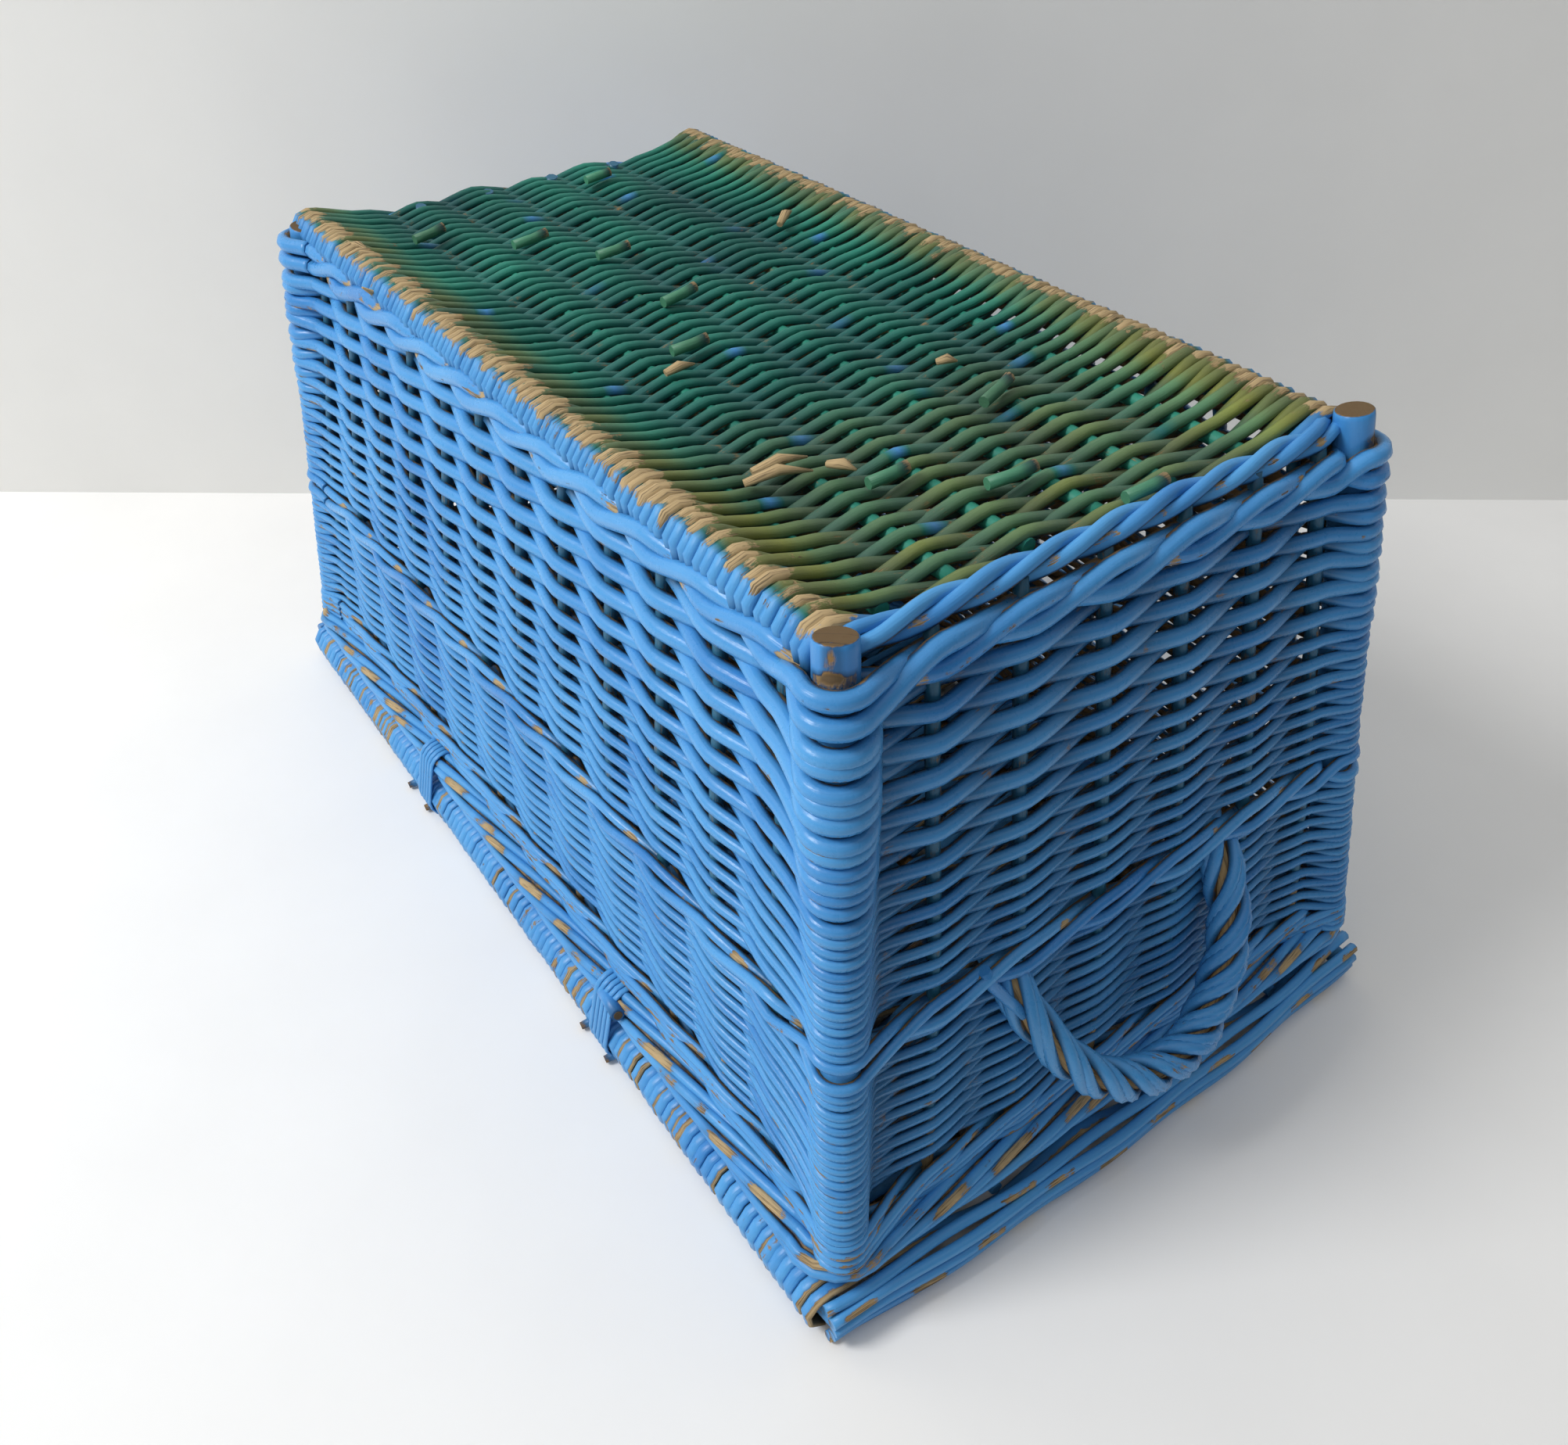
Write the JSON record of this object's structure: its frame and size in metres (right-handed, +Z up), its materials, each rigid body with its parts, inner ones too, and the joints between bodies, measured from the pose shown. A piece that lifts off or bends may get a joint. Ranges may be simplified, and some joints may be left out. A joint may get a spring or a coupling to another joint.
{
  "type": "wicker trunk",
  "caption": "Rectangular woven willow storage trunk standing upside down on its hinged lid, with splayed walls, roped end handles and corner posts.",
  "frame": {"origin": "middle of the footprint on the floor, with the trunk standing upside down on its lid", "axes": "+X along the length, +Z up from the lid to the base, -Y is the side of the hinge loops"},
  "size_m": [0.7196, 0.396, 0.35],
  "materials": {
    "blue_paint": "woven willow under semi-gloss blue paint, worn to bare wood on the crests",
    "green_paint": "woven willow under satin green paint, thin and olive towards one end",
    "worn_willow": "willow rod with most of its paint worn off",
    "bare_willow": "bare willow stick"
  },
  "bodies": {
    "lid": {"lid_outer_stick_back": "bare_willow", "lid_outer_stick_front": "bare_willow", "lid_stick_1": "bare_willow", "lid_stick_2": "bare_willow", "lid_stick_3": "bare_willow", "lid_stick_4": "bare_willow", "lid_stick_5": "bare_willow", "lid_stick_6": "bare_willow", "lid_weave": "blue_paint"},
    "basket": {"back_siding": "blue_paint", "base_outer_stick_back": "bare_willow", "base_outer_stick_front": "bare_willow", "base_stick_1": "bare_willow", "base_stick_2": "bare_willow", "base_stick_3": "bare_willow", "base_stick_4": "bare_willow", "base_stick_5": "bare_willow", "base_stick_6": "bare_willow", "base_weave": "green_paint", "border": "blue_paint", "corner_post_back_left": "worn_willow", "corner_post_back_right": "worn_willow", "corner_post_front_left": "worn_willow", "corner_post_front_right": "worn_willow", "front_siding": "blue_paint", "handle_bow_left": "worn_willow", "handle_bow_right": "worn_willow", "handle_roping_left_1": "blue_paint", "handle_roping_left_2": "blue_paint", "handle_roping_right_1": "blue_paint", "handle_roping_right_2": "blue_paint", "handle_wale": "blue_paint", "hinge_loop_1": "blue_paint", "hinge_loop_2": "blue_paint", "left_siding": "blue_paint", "right_siding": "blue_paint", "rim_wale": "blue_paint", "upsett_wale": "blue_paint"}
  },
  "joints": [
    {"name": "lid_hinge", "type": "hinge", "parent": "lid", "child": "basket", "pos_m": [0, -0.184, 0.014], "axis": [1, 0, 0], "range_deg": [0, 90]}
  ]
}
